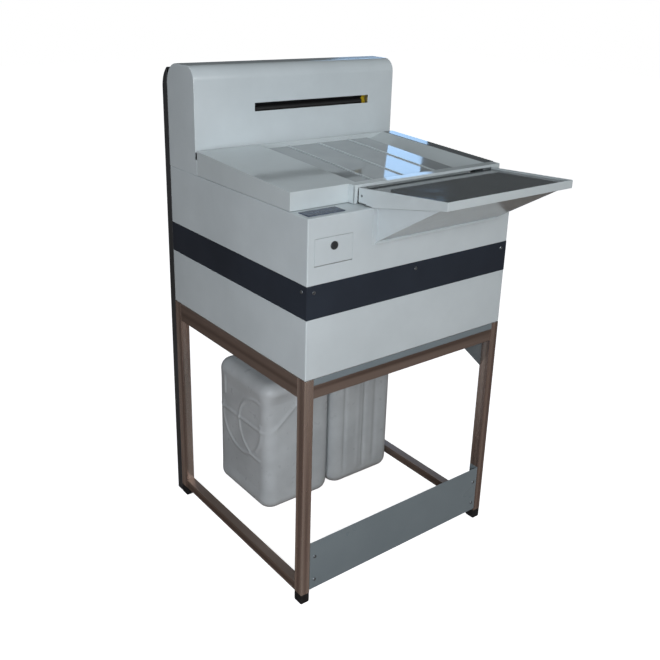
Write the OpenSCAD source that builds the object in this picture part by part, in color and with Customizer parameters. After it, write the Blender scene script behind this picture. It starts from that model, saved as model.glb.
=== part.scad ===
// Roller-transport film processor on an open tube stand.
// A sheet-metal cabinet holds three tanks with lift-out roller racks, the drive
// train on the left and a drying section under the rear hood. Film goes in over
// the hinged tray at the front and comes back onto the lid through the hood slot.
// x runs left to right, y front to back and z up from the floor. Everything is
// laid out from the left front corner of the cabinet and then centred.

/* [Cabinet] */
// Width across the side panels
body_w = 630; // [624:1:670]
// Depth of the white cabinet from its front face to the rear panel
body_d = 604; // [600:1:625]
// Height of the underside of the cabinet above the floor
stand_top = 607; // [560:1:660]
// Height of the lower casing
lower_h = 145; // [130:1:155]
// Height of the dark trim band
band_h = 78; // [66:1:84]
// Height of the upper casing up to its deck
upper_h = 149; // [142:1:156]
// Thickness of the folded sheet
sheet_t = 2; // [1.6:0.1:2.2]
// Depth of the dark rear panel behind the cabinet
rear_t = 26; // [20:1:32]

/* [Stand] */
// Width of a leg tube across the front
leg_w = 25; // [22:1:28]
// Depth of a leg tube along the side
leg_d = 30; // [27:1:33]
// Wall of every tube
tube_wall = 1.5; // [1.2:0.1:2]
// Height of a rubber foot below its leg
foot_h = 27; // [20:1:32]
// Height of the upper side rails
rail_h = 50; // [40:1:56]
// Height of the lower side rails
low_rail_h = 25; // [20:1:30]
// Height of the light sill strip under the front edge of the cabinet
sill_h = 16; // [12:1:20]
// Leg length of the corner gusset
gusset_leg = 82; // [60:1:90]
// Height of the front kick plate
kick_h = 136; // [110:1:150]
// Height of the lower edge of the kick plate above the floor
kick_z = 34; // [30:1:44]

/* [Film path] */
// Width of the film path and of the exit slot
slot_w = 370; // [360:1:374]
// Distance of the film path centre to the right of the cabinet centre
film_off = 42; // [40:1:44]
// Pitch of the three tanks
tank_pitch = 120; // [118:0.5:121]
// Width of each tank from front wall to rear wall
tank_d = 112; // [108:0.5:113]
// Wall of a tank
tank_wall = 3; // [2.5:0.1:3.5]
// Radius of the rack top rollers
top_r = 12; // [11:0.1:12.5]
// Radius of the turn rollers at the bottom of each rack
turn_r = 28; // [25:0.5:28]
// Radius of every roller shaft
shaft_r = 4; // [3.5:0.1:4.5]
// Running clearance of a shaft in its bore
fit = 0.05; // [0.03:0.01:0.08]
// Teeth of each large gear
gear_teeth = 20; // [20:20]
// Teeth of the motor pinion
pinion_teeth = 12; // [12:12]
// Face width of the large gears
gear_w = 8; // [6:0.5:9]

/* [Lid and hood] */
// Setback of the lid behind the front face
lid_y = 65; // [62:1:68]
// Height of the lid front wall above the deck
lid_h = 43; // [41:1:46]
// Depth of the hood from its front wall to the rear panel
hood_d = 136; // [130:1:137]
// Height of the hood above the deck
hood_h = 260; // [250:1:280]
// Height of the exit slot
slot_h = 21; // [18:0.5:23]
// Slope of the lid top, rise per length
lid_slope = 0.0456; // [0.04:0.0004:0.048]
// Depth of the receiving bin at its front end
bin_front = 18; // [16:0.5:18]
// Depth of the receiving bin at its rear end
bin_rear = 12; // [10:0.5:12]

/* [Feed tray] */
// Reach of the tray in front of the cabinet
tray_reach = 213; // [190:1:225]
// Width of the tray at its rear edge
tray_w = 430; // [424:1:434]
// Width of the tray at its front edge
tray_front_w = 396; // [380:1:400]
// Rise of the tray rim per length towards the front
tray_slope = 0.08; // [0.07:0.002:0.09]

/* [Cans] */
// Width of a chemical can
can_w = 230; // [200:1:231]
// Depth of a chemical can
can_d = 268; // [240:1:280]
// Height of the body of a can
can_h = 395; // [340:1:410]
// Wall of a can
can_wall = 3; // [2:0.5:4]

/* [Hidden] */
$fn = 72;
sheet_c = "#dfe5e6";
band_c = "#363c48";
rear_c = "#3a3c3e";
steel_c = "#b9b2ac";
grey_c = "#8d9497";
black_c = "#1c1c1e";
tank_c = "#d9d6cb";
roller_c = "#efeee8";
rack_c = "#cfd3d4";
gear_c = "#e6e2d4";
yellow_c = "#d8b81e";
metal_c = "#9aa0a4";
glass_c = "#3b4246";
can_c = "#e8ecea";

floor_z = stand_top + sheet_t;
band_z = stand_top + lower_h;
upper_z = band_z + band_h;
deck_z = upper_z + upper_h;
flange_z = band_z + band_h / 2;
hood_y = body_d - hood_d;
hood_top = deck_z + hood_h;
full_d = body_d + rear_t;
shift_y = (tray_reach - full_d) / 2;
eps = 0.01;

film_l = body_w / 2 + film_off - slot_w / 2;
film_r = film_l + slot_w;
tank_l = film_l - 16;
tank_r = film_r + 16;
gear_x = film_l - 27;
plate_l = film_l - 5;
plate_r = film_r + 2;
plate_t = 3;
bore_r = shaft_r + fit;

first_y = 100;
gear_d = tank_pitch / 3;
gear_m = gear_d / gear_teeth;
row_z = deck_z - 47;
tank_top = deck_z - 74;
turn_z = floor_z + 56;
dryer_y = first_y + 9 * gear_d;
feed_z = row_z + gear_d;
feed_r = 8.85;
feed_gap = 18;
pinion_y = first_y + 4 * gear_d;
pinion_z = row_z - gear_m * (gear_teeth + pinion_teeth) / 2;

exit_y = hood_y + 28;
exit_z = deck_z + 155;
exit_r = 9.85;
exit_gap = 20;

// Moves the whole object from its corner layout to its centred place
module seat() {
  translate([-body_w / 2, shift_y, 0]) children();
}

// A box between two limits on each axis
module block(x, y, z) {
  translate([x[0], y[0], z[0]]) cube([x[1] - x[0], y[1] - y[0], z[1] - z[0]]);
}

// An outline in the y-z plane pulled along x
module along_x(x0, x1) {
  translate([x0, 0, 0]) rotate([90, 0, 90]) linear_extrude(x1 - x0) children();
}

// An outline in the x-z plane pulled along y
module along_y(y0, y1) {
  translate([0, y1, 0]) rotate([90, 0, 0]) linear_extrude(y1 - y0) children();
}

// A round bar along x
module rod_x(x0, x1, y, z, r) {
  translate([x0, y, z]) rotate([0, 90, 0]) cylinder(h = x1 - x0, r = r);
}

// A round bar along y
module rod_y(y0, y1, x, z, r) {
  translate([x, y0, z]) rotate([-90, 0, 0]) cylinder(h = y1 - y0, r = r);
}

// Outline of a gear with straight-flanked teeth, one tooth at the phase angle
module gear_outline(m, n, phase) {
  root = m * (n / 2 - 1.2);
  tip = m * (n / 2 + 0.85);
  step = 360 / n;
  polygon([
    for (i = [0 : n - 1], k = [-0.30, -0.13, 0.13, 0.30])
      let (r = abs(k) < 0.2 ? tip : root, a = phase + (i + k) * step)
        [r * cos(a), r * sin(a)]
  ]);
}

// A gear on a shaft that runs along x
module gear(x0, w, y, z, m, n, phase) {
  translate([0, y, z]) along_x(x0, x0 + w) gear_outline(m, n, phase);
}

// A square with round corners, centred in x and standing on y = 0
module round_rect(w, h, r) {
  translate([-w / 2 + r, 0]) square([w - 2 * r, h]);
  translate([-w / 2, r]) square([w, h - 2 * r]);
  for (x = [-w / 2 + r, w / 2 - r], y = [r, h - r])
    translate([x, y]) circle(r);
}

// The stand

// A square tube along z, y or x is a box less the same box inside its wall
module tube_z(x, y, z0, z1) {
  difference() {
    block([x, x + leg_w], [y, y + leg_d], [z0, z1]);
    block([x + tube_wall, x + leg_w - tube_wall],
          [y + tube_wall, y + leg_d - tube_wall], [z0 - 1, z1 + 1]);
  }
}

module tube_y(x, z, h) {
  difference() {
    block([x, x + leg_w], [leg_d, body_d - leg_d], [z, z + h]);
    block([x + tube_wall, x + leg_w - tube_wall],
          [leg_d - 1, body_d - leg_d + 1], [z + tube_wall, z + h - tube_wall]);
  }
}

module tube_x(y, z, h) {
  difference() {
    block([leg_w, body_w - leg_w], y, [z, z + h]);
    block([leg_w - 1, body_w - leg_w + 1],
          [y[0] + tube_wall, y[1] - tube_wall], [z + tube_wall, z + h - tube_wall]);
  }
}

leg_xs = [0, body_w - leg_w];
leg_ys = [0, body_d - leg_d];

module legs() {
  color(steel_c) seat()
    for (x = leg_xs, y = leg_ys) tube_z(x, y, foot_h, stand_top);
}

// Upper rails round all four sides and lower rails along the two sides
module rails() {
  z = stand_top - rail_h;
  color(steel_c) seat() {
    for (x = leg_xs) {
      tube_y(x, z, rail_h);
      tube_y(x, foot_h, low_rail_h);
    }
    tube_x([sheet_t, leg_d], z, rail_h);
    tube_x([body_d - leg_d, body_d], z, rail_h);
  }
}

// Light strip over the top of the front rail
module sill_strip() {
  color(grey_c) seat()
    block([leg_w, body_w - leg_w], [0, sheet_t], [stand_top - sill_h, stand_top]);
}

// Each foot fills the outline of its leg and plugs into it with a stem
foot_stem = 18;
stem_gap = 0.1;

module feet() {
  color(black_c) seat()
    for (x = leg_xs, y = leg_ys) {
      block([x, x + leg_w], [y, y + leg_d], [0, foot_h]);
      block([x + tube_wall + stem_gap, x + leg_w - tube_wall - stem_gap],
            [y + tube_wall + stem_gap, y + leg_d - tube_wall - stem_gap],
            [foot_h - eps, foot_h + foot_stem]);
    }
}

// Triangular plate under the right end of the front rail
gusset_t = 3;

module gusset_plate() {
  x1 = body_w - leg_w;
  z1 = stand_top - rail_h;
  color(sheet_c) seat() along_y(leg_d - gusset_t, leg_d)
    polygon([[x1, z1], [x1 - gusset_leg, z1], [x1, z1 - gusset_leg]]);
}

kick_screw_in = 14;
kick_screw_zs = [kick_z + 26, kick_z + kick_h - 43];
kick_screw_xs = [leg_w + kick_screw_in, body_w - leg_w - kick_screw_in];
screw_r = 2;

// Front plate with a folded return against each leg
module kick_plate() {
  color(grey_c) seat() difference() {
    union() {
      block([leg_w, body_w - leg_w], [0, sheet_t], [kick_z, kick_z + kick_h]);
      for (x = [leg_w, body_w - leg_w - sheet_t])
        block([x, x + sheet_t], [0, leg_d - 2], [kick_z, kick_z + kick_h]);
    }
    for (x = kick_screw_xs, z = kick_screw_zs)
      rod_y(-1, sheet_t + 1, x, z, screw_r + fit);
  }
}

band_screw_in = 19;
band_screw_z = upper_z - 16;
band_screw_xs = [band_screw_in, body_w / 2, body_w - band_screw_in];

// A pan-head screw through the front sheet, drawn towards +y
module front_screw(x, z, grip) {
  translate([x, 0, z]) rotate([-90, 0, 0]) {
    translate([0, 0, -1.8]) cylinder(h = 1.8, r1 = 3.4, r2 = 4.5);
    translate([0, 0, -eps]) cylinder(h = grip + eps, r = screw_r);
  }
}

// The same screw in a side wall, pointing inwards
module side_screw(x, turn) {
  translate([x, band_screw_in, band_screw_z]) rotate([0, 0, turn]) front_screw(0, 0, 8);
}

module panel_screws() {
  color(metal_c) seat() {
    for (x = kick_screw_xs, z = kick_screw_zs) front_screw(x, z, 8);
    for (x = band_screw_xs) front_screw(x, band_screw_z, 8);
    side_screw(0, -90);
    side_screw(body_w, 90);
  }
}

// The cabinet casings

// A box outline inset by t from the cabinet walls
module inset_block(t, z) {
  block([t, body_w - t], [t, body_d - t], z);
}

module screw_bores() {
  for (x = band_screw_xs) rod_y(-1, 10, x, band_screw_z, screw_r + fit);
  for (x = [-1, body_w - 10]) rod_x(x, x + 11, band_screw_in, band_screw_z, screw_r + fit);
}

// Tub with a floor, and a stepped flange that stands behind the band
module lower_shell() {
  t = sheet_t;
  color(sheet_c) seat() difference() {
    union() {
      inset_block(0, [stand_top, band_z]);
      inset_block(t, [band_z - eps, flange_z]);
    }
    inset_block(t, [floor_z, band_z - t]);
    inset_block(2 * t, [floor_z, flange_z + 1]);
  }
}

module trim_band() {
  color(band_c) seat() difference() {
    inset_block(0, [band_z, upper_z]);
    inset_block(sheet_t, [band_z - 1, upper_z + 1]);
    screw_bores();
  }
}

flap_x = [19, 121];
flap_gap = 0.4;
barrel_r = 3;
flap_pin_r = 1.5;
flap_low = deck_z - 108;
flap_high = deck_z - 47;
lug_w = 4;

deck_margin = 34;
deck_front = 70;
deck_rear = 12;

// Upper casing with its deck, the flap opening and the lugs of the flap pin
module upper_shell() {
  t = sheet_t;
  lugs = [flap_x[0] - flap_gap - lug_w, flap_x[1] + flap_gap];
  color(sheet_c) seat() difference() {
    union() {
      difference() {
        union() {
          inset_block(0, [upper_z, deck_z]);
          inset_block(t, [flange_z, upper_z + eps]);
        }
        inset_block(t, [upper_z + t, deck_z - t]);
        inset_block(2 * t, [flange_z - 1, upper_z + t + 1]);
        block([deck_margin, body_w - deck_margin], [deck_front, body_d - deck_rear],
              [deck_z - 10, deck_z + 1]);
        block([flap_x[0] - flap_gap, flap_x[1] + flap_gap], [-1, t + 1],
              [flap_low - flap_gap, flap_high + flap_gap]);
        screw_bores();
      }
      for (x = lugs)
        block([x, x + lug_w], [t - eps, t + 6], [flap_low - 2, flap_low + 8]);
    }
    rod_x(lugs[0] - 1, lugs[1] + lug_w + 1, barrel_r, flap_low + barrel_r,
          flap_pin_r + fit);
  }
}

// Profile of the hood in the y-z plane, rounded at the front and the rear
hood_front_r = 35;
hood_rear_r = 50;

module hood_profile(t) {
  z1 = hood_top;
  yf = hood_y + hood_front_r;
  yr = body_d - hood_rear_r;
  translate([hood_y + t, deck_z]) square([hood_d - 2 * t, hood_h - hood_rear_r]);
  translate([yf, z1 - hood_rear_r - 1]) square([yr - yf, hood_rear_r + 1 - t]);
  translate([hood_y + t, z1 - hood_rear_r - 1])
    square([hood_front_r, hood_rear_r - hood_front_r + 1]);
  translate([yf, z1 - hood_front_r]) circle(hood_front_r - t);
  translate([yr, z1 - hood_rear_r]) circle(hood_rear_r - t);
}

// The rear panel is a deep pan whose top carries on the curve of the hood
rear_r = 64;
rear_z = stand_top - 9;
post_z = 3;

module rear_profile(t) {
  intersection() {
    union() {
      translate([body_d - 1, rear_z + t]) square([rear_t + 1 - t, hood_top - rear_r - rear_z - t]);
      translate([full_d - rear_r, hood_top - rear_r]) circle(rear_r - t);
    }
    translate([body_d - (t > 0 ? 1 : 0), 0]) square([200, 2000]);
  }
}

vent_w = 70;
vent_h = 4;
vent_pitch = 12;
vent_rows = 8;
vent_z = deck_z - 140;
fitting_xs = [body_w - 70, body_w - 120, body_w - 170];
fitting_z = stand_top + 45;
fitting_r = 16;

// Dark pan with louvres behind the drive, holes for the hose tails and two
// posts that carry its sides down behind the rear legs
module rear_panel() {
  t = sheet_t;
  color(rear_c) seat() difference() {
    union() {
      along_x(0, body_w) rear_profile(0);
      for (x = leg_xs)
        block([x, x + leg_w], [body_d, full_d], [post_z, rear_z + eps]);
    }
    along_x(t, body_w - t) rear_profile(t);
    for (x = leg_xs)
      block([x + t, x + leg_w - t], [body_d - 1, full_d - t], [post_z - 1, rear_z - t]);
    for (row = [0 : vent_rows - 1], z = [vent_z, deck_z + 60])
      block([40, 40 + vent_w], [full_d - t - 1, full_d + 1],
            [z + row * vent_pitch, z + row * vent_pitch + vent_h]);
    for (x = fitting_xs)
      rod_y(full_d - t - 1, full_d + 1, x, fitting_z, fitting_r);
  }
}

// Water inlet, drain and mains gland, set back inside the rear panel
module rear_fittings() {
  color(black_c) seat() for (x = fitting_xs) difference() {
    union() {
      rod_y(body_d, body_d + 6, x, fitting_z, fitting_r + 6);
      rod_y(body_d, full_d - sheet_t, x, fitting_z, 9);
    }
    rod_y(body_d + 4, full_d + 1, x, fitting_z, 6);
  }
}

flap_t = sheet_t;
lock_x = (flap_x[0] + flap_x[1]) / 2;
lock_z = flap_low + 41;
lock_r = 7;

// Drop-down flap with a hinge barrel along its lower edge
module control_flap() {
  color(sheet_c) seat() difference() {
    union() {
      block(flap_x, [0, flap_t], [flap_low + barrel_r, flap_high]);
      rod_x(flap_x[0], flap_x[1], barrel_r, flap_low + barrel_r, barrel_r);
      rod_y(flap_t - eps, flap_t + 5, lock_x, lock_z, lock_r + 3);
    }
    rod_x(flap_x[0] - 1, flap_x[1] + 1, barrel_r, flap_low + barrel_r, flap_pin_r + fit);
    rod_y(-1, 20, lock_x, lock_z, lock_r + fit);
  }
}

module flap_pin() {
  color(metal_c) seat()
    rod_x(flap_x[0] - flap_gap - lug_w, flap_x[1] + flap_gap + lug_w,
          barrel_r, flap_low + barrel_r, flap_pin_r);
}

cam_l = 24;

// Lock cylinder with its head outside and its cam behind the flap
module lock_plug() {
  back = flap_t + 5.3;
  color(metal_c) seat() translate([lock_x, 0, lock_z]) {
    difference() {
      rod_y(-2, -0.2, 0, 0, 9.5);
      block([-0.8, 0.8], [-3, -1], [-4, 4]);
    }
    rod_y(-1, back, 0, 0, lock_r);
    block([-6, cam_l], [back - eps, back + 2], [-5, 5]);
  }
}

key_x = [12, 109];
key_y = [14, 51];
key_t = 1.5;

// Membrane key panel on the deck in front of the lid
module key_panel() {
  color("#44546e") seat() block(key_x, key_y, [deck_z, deck_z + key_t]);
}

// The lid

lid_rear = hood_y - 7;
lid_z = deck_z + lid_h;
lid_tilt = atan(lid_slope);
lid_len = (lid_rear - lid_y) / cos(lid_tilt);
lid_gap = 1;
hinge_y = lid_rear - 6;
hinge_z = lid_z + lid_slope * (hinge_y - lid_y) - 9.8;
hinge_r = 4;
knuckle_r = 6;
arm_half = 5;
bracket_x = [18, 24];
ear_x = [26, 31];
bin_l = film_l + 8;
bin_r = body_w - 36;
bin_side = 2.87;
plate_thk = 1.5;
bin_f = bin_front + plate_thk;
bin_b = bin_rear + plate_thk;
rib_xs = [film_l + 97, film_l + 194, film_l + 297];
rib_w = 5;
rib_h = 2.5;

// Lays its children on the sloping top of the lid, which becomes z = 0
module on_lid() {
  translate([0, lid_y, lid_z]) rotate([lid_tilt, 0, 0]) children();
}

// Side profile of the lid, inset by t
module lid_profile(t) {
  y1 = lid_rear + (t > 0 ? 1 : 0);
  polygon([
    [lid_y + t, deck_z + lid_gap - (t > 0 ? 1 : 0)],
    [y1, deck_z + lid_gap - (t > 0 ? 1 : 0)],
    [y1, lid_z - t + lid_slope * (y1 - lid_y)],
    [lid_y + t, lid_z - t + lid_slope * t]
  ]);
}

// Receiving bin grown by t, with upright left and rear walls and a leaning right wall
module bin_shape(t, top) {
  y0 = 5 - t;
  y1 = lid_len - sheet_t + t;
  intersection() {
    along_x(bin_l - t, bin_r + t + 4)
      polygon([[y0, top], [y0, -bin_f - t], [y1, -bin_b - t], [y1, top]]);
    along_y(-1, lid_len + 5)
      polygon([
        [bin_l - t, -40], [bin_r + t - 40 * bin_side, -40],
        [bin_r + t, 0], [bin_r + t, 2], [bin_l - t, 2]
      ]);
  }
}

window_x = [film_l + 4, film_l + slot_w + 50];
window_z = [deck_z + 6, deck_z + 31];
canopy_x = [film_l - 15, body_w - 2];
canopy_y = 46;

// Lid with the receiving bin, the entry window and its ears
module lid() {
  color(sheet_c) seat() {
    difference() {
      union() {
        difference() {
          along_x(0, body_w) lid_profile(0);
          along_x(sheet_t, body_w - sheet_t) lid_profile(sheet_t);
        }
        on_lid() bin_shape(sheet_t, -0.5);
        block(canopy_x, [canopy_y, lid_y + 1], [lid_z - sheet_t, lid_z]);
        block([canopy_x[0], canopy_x[0] + sheet_t], [canopy_y, lid_y + 1],
              [deck_z + lid_gap, lid_z]);
      }
      on_lid() bin_shape(0, 1);
      block(window_x, [lid_y - 1, lid_y + sheet_t + 0.5], window_z);
    }
    on_lid() for (x = rib_xs)
      along_x(x - rib_w / 2, x + rib_w / 2)
        polygon([
          [5, -bin_f - eps], [lid_len - 1, -bin_b - eps],
          [lid_len - 1, rib_h - bin_rear], [5, rib_h - bin_front]
        ]);
    for (x = [ear_x, [body_w - ear_x[1], body_w - ear_x[0]]])
      difference() {
        union() {
          rod_x(x[0], x[1], hinge_y, hinge_z, knuckle_r);
          block(x, [hinge_y - arm_half, hinge_y + arm_half], [hinge_z, hinge_z + 8]);
        }
        rod_x(x[0] - 1, x[1] + 1, hinge_y, hinge_z, hinge_r + fit);
      }
  }
}

// Two uprights on the deck, each with the pin that an ear of the lid turns on
module lid_hinges() {
  color(metal_c) seat()
    for (side = [0, 1])
      translate([side * body_w, 0, 0]) mirror([side, 0, 0]) {
        block(bracket_x, [hinge_y - arm_half, hinge_y + arm_half], [deck_z, hinge_z]);
        rod_x(bracket_x[0], bracket_x[1], hinge_y, hinge_z, knuckle_r);
        rod_x(bracket_x[0] + 1, ear_x[1] + 1, hinge_y, hinge_z, hinge_r);
        block([bracket_x[0] - 6, bracket_x[1] - 1], [hinge_y - 7, hinge_y + 7],
              [deck_z, deck_z + 3]);
      }
}

rim_plate_x = [bin_r + 3, body_w - 1.5];
rim_plate_y = [3, lid_len - 4];

// Glossy plates on the floor of the bin, one between each pair of ribs, and
// a strip on the right rim of the lid
module bin_floor() {
  gap = 0.3;
  lift = 0.02;
  plate_end = lid_len - sheet_t - gap;
  lefts = concat([bin_l], [for (x = rib_xs) x + rib_w / 2]);
  rights = concat([for (x = rib_xs) x - rib_w / 2], [bin_r - bin_side * bin_f - 1]);
  color(glass_c) seat() on_lid() {
    for (i = [0 : len(lefts) - 1])
      along_x(lefts[i] + gap, rights[i] - gap)
        polygon([
          [5 + gap, lift - bin_f], [plate_end, lift - bin_b],
          [plate_end, -bin_rear], [5 + gap, -bin_front]
        ]);
    block(rim_plate_x, rim_plate_y, [lift, 1]);
  }
}

lip_y = 6;

// Rear hood over the drying section, open below, with the film exit slot
module hood() {
  t = sheet_t;
  sill_z = deck_z + 55;
  color(sheet_c) seat() {
    difference() {
      along_x(0, body_w) hood_profile(0);
      along_x(t, body_w - t) hood_profile(t);
      block([t, body_w - t], [hood_y + 1, body_d - t], [deck_z - 1, deck_z + 3]);
      block([t, body_w - t], [hood_y - 1, hood_y + t + 1], [deck_z - 1, sill_z]);
      block([film_l, film_r], [hood_y - 1, hood_y + t + 1],
            [exit_z - slot_h / 2, exit_z + slot_h / 2]);
    }
    for (x = [0, body_w - t])
      block([x, x + t], [hood_y - lip_y, hood_y + 1], [deck_z, deck_z + 39]);
  }
}

// The feed end

chute_x = [film_l + 16, film_l + 413];
chute_low = deck_z - 79;
chute_rise = 0.178;
chute_slope = 0.595;
chute_len = (deck_z - chute_low) / (chute_slope - chute_rise);
flange_x = [film_l + 3, film_l + 426];
flange_t = 1.5;
hem_t = 3;
hem_h = 6;
hem_over = 5;

// Wedge-shaped support under the tray, screwed on by a flange
module feed_housing() {
  t = sheet_t;
  cheek_xs = [chute_x[0], chute_x[1] - t];
  color(sheet_c) seat() {
    block(flange_x, [-flange_t, 0], [chute_low - 7, deck_z]);
    for (x = cheek_xs)
      along_x(x, x + t)
        polygon([
          [-flange_t, chute_low], [-chute_len, deck_z + chute_rise * chute_len],
          [-flange_t, deck_z + chute_rise * flange_t]
        ]);
    along_x(chute_x[0], chute_x[1])
      polygon([
        [-flange_t, chute_low + flange_t * chute_slope],
        [-chute_len, deck_z + chute_rise * chute_len],
        [-chute_len + 4, deck_z + chute_rise * (chute_len - 4)],
        [-flange_t, chute_low + 3 + flange_t * chute_slope]
      ]);
    block([chute_x[0] - hem_over, chute_x[1] - hem_over], [-flange_t - hem_t, -flange_t],
          [chute_low - hem_h, chute_low]);
  }
}

tray_back = 44;
tray_cx = film_l + 212;
tray_rim = deck_z + 37;
tray_gap = 0.6;
rim_w = 4;
floor_drop = 7;
tray_t = sheet_t;
tray_pin_y = 34;
tray_pin_z = deck_z + 20;
tray_pin_r = 3;
tray_ear = [8, 14];

// Plan of the tray, inset by t from its slanting sides and front
module tray_plan(t, back, z0, z1) {
  slant = (tray_w - tray_front_w) / 2 / (tray_reach + tray_back);
  front = -tray_reach + t;
  half_b = tray_w / 2 + slant * (back - tray_back) - t;
  half_f = tray_front_w / 2 + slant * t - t;
  translate([tray_cx, 0, z0]) linear_extrude(z1 - z0)
    polygon([[-half_b, back], [half_b, back], [half_f, front], [-half_f, front]]);
}

// Height of the tray rim at a place in front of the lid
function rim_at(y) = tray_rim + tray_slope * (tray_back - y);

// Slab of the tray between two depths below the rim
module tray_slab(top, low) {
  y0 = -tray_reach - 1;
  y1 = tray_back + 1;
  along_x(tray_cx - tray_w, tray_cx + tray_w)
    polygon([
      [y0, rim_at(y0) - low], [y1, rim_at(y1) - low],
      [y1, rim_at(y1) - top], [y0, rim_at(y0) - top]
    ]);
}

// Tapered feed tray, a raised rim round a sunk floor, open underneath
module feed_tray() {
  low = deck_z + tray_gap;
  color(sheet_c) seat() difference() {
    union() {
      difference() {
        intersection() {
          tray_plan(0, tray_back, deck_z - 10, deck_z + 90);
          along_x(tray_cx - tray_w, tray_cx + tray_w)
            polygon([
              [-tray_reach, low + chute_rise * tray_reach], [0, low], [2, low],
              [2, deck_z + 2], [20, deck_z + 2], [20, deck_z + 4],
              [tray_back, deck_z + 4], [tray_back, rim_at(tray_back)],
              [-tray_reach, rim_at(-tray_reach)]
            ]);
        }
        intersection() {
          tray_plan(rim_w, tray_back + 1, deck_z - 10, deck_z + 90);
          tray_slab(-1, floor_drop);
        }
        intersection() {
          tray_plan(tray_t, tray_back + 1, deck_z - 10, deck_z + 90);
          tray_slab(floor_drop + tray_t, 100);
        }
      }
      for (side = [0, 1])
        translate([tray_cx, 0, 0]) mirror([side, 0, 0])
          rod_x(-tray_w / 2 + 2, -tray_w / 2 + tray_ear[0] - 0.5, tray_pin_y, tray_pin_z,
                knuckle_r);
    }
    rod_x(tray_cx - tray_w, tray_cx + tray_w, tray_pin_y, tray_pin_z, tray_pin_r + fit);
  }
}

// Glossy plate that lines the floor of the tray
module feed_plate() {
  color(glass_c) seat() intersection() {
    tray_plan(rim_w + 0.3, tray_back, deck_z - 10, deck_z + 90);
    tray_slab(floor_drop - 2, floor_drop);
  }
}

// Ears on the deck with the pins of the tray
module tray_hinges() {
  color(metal_c) seat()
    for (side = [0, 1])
      translate([tray_cx, 0, 0]) mirror([side, 0, 0]) translate([-tray_w / 2, 0, 0]) {
        rod_x(tray_ear[0], tray_ear[1], tray_pin_y, tray_pin_z, knuckle_r);
        block(tray_ear, [tray_pin_y - arm_half, tray_pin_y + arm_half],
              [deck_z, tray_pin_z]);
        block([tray_ear[0] + 1, tray_ear[1] + 8], [tray_pin_y - 7, tray_pin_y + 7],
              [deck_z, deck_z + 3]);
        rod_x(1, tray_ear[1] - 1, tray_pin_y, tray_pin_z, tray_pin_r);
      }
}

// Tanks, racks and rollers

function tank_y(k) = first_y + gear_d + k * tank_pitch;

// Open tank with a solid floor, one of three alike
module tank(k) {
  y = [tank_y(k) - tank_d / 2, tank_y(k) + tank_d / 2];
  w = tank_wall;
  color(tank_c) seat() difference() {
    block([tank_l, tank_r], y, [floor_z, tank_top]);
    block([tank_l + w, tank_r - w], [y[0] + w, y[1] - w], [floor_z + w, tank_top + 1]);
  }
}

module developer_tank() { tank(0); }
module fixer_tank() { tank(1); }
module wash_tank() { tank(2); }

bar_h = 6;
guide_gap = 3;
guide_t = 1.6;
plate_low = floor_z + 16;
stud_x = gear_x - 2;

// Part of a ring in the y-z plane below its centre
module half_ring(r, t) {
  difference() {
    circle(r + t);
    circle(r);
    translate([-2 * r, 0]) square([4 * r, 2 * r]);
  }
}

// Lift-out rack: two bearing plates, hanger bars, the stud of the idler
// gear and the curved guide that turns the film round the lowest roller
module rack(k, feed) {
  y = tank_y(k);
  half = tank_d / 2 - 6;
  color(rack_c) seat() {
    difference() {
      union() {
        for (x = [plate_l, plate_r]) {
          block([x, x + plate_t], [y - half, y + half], [plate_low, row_z + top_r]);
          if (feed)
            block([x, x + plate_t], [first_y - 14, first_y + 16],
                  [row_z, feed_z + feed_gap + 10]);
        }
      }
      for (dy = [-gear_d, gear_d])
        rod_x(plate_l - 1, plate_r + plate_t + 1, y + dy, row_z, bore_r);
      rod_x(plate_l - 1, plate_r + plate_t + 1, y, turn_z, bore_r);
      if (feed)
        for (z = [feed_z, feed_z + feed_gap])
          rod_x(plate_l - 1, plate_r + plate_t + 1, first_y, z, bore_r);
    }
    for (dy = [-22, 22])
      block([tank_l, tank_r], [y + dy - 3, y + dy + 3], [tank_top, tank_top + bar_h]);
    rod_x(stud_x, plate_l + eps, y, row_z, shaft_r);
    translate([0, y, turn_z]) along_x(plate_l + 1, plate_r + 1)
      half_ring(turn_r + guide_gap, guide_t);
    for (dy = [-12, 12])
      rod_x(plate_l + 1, plate_r + 1, y + dy, row_z - 120, 3);
    if (feed)
      along_x(plate_l + 1, plate_r + 1)
        polygon([
          [first_y - 28, feed_z + 25], [first_y - 11, feed_z + 12],
          [first_y - 11, feed_z + 13.5], [first_y - 28, feed_z + 26.5]
        ]);
  }
}

module developer_rack() { rack(0, true); }
module fixer_rack() { rack(1, false); }
module wash_rack() { rack(2, false); }

// Roller with a shaft between two places and a barrel across the film path
module roller(y, z, r, x0, x1) {
  rod_x(film_l, film_r, y, z, r);
  rod_x(x0, x1, y, z, shaft_r);
}

// Driven roller number n of the gear row; neighbours are half a tooth apart
module row_roller(n) {
  y = first_y + n * gear_d;
  color(roller_c) seat() {
    roller(y, row_z, top_r, gear_x + 1, plate_r + plate_t + 2);
    row_gear(n);
  }
}

module row_gear(n) {
  gear(gear_x, gear_w, first_y + n * gear_d, row_z, gear_m, gear_teeth,
       (n % 2) * 180 / gear_teeth);
}

module developer_front_roller() { row_roller(0); }
module developer_rear_roller() { row_roller(2); }
module fixer_front_roller() { row_roller(3); }
module fixer_rear_roller() { row_roller(5); }
module wash_front_roller() { row_roller(6); }
module wash_rear_roller() { row_roller(8); }

// Idler gear between the two rollers of a rack
module idler(n) {
  color(gear_c) seat() difference() {
    row_gear(n);
    rod_x(gear_x - 1, gear_x + gear_w + 1, first_y + n * gear_d, row_z, bore_r);
  }
}

module developer_idler() { idler(1); }
module fixer_idler() { idler(4); }
module wash_idler() { idler(7); }

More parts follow.
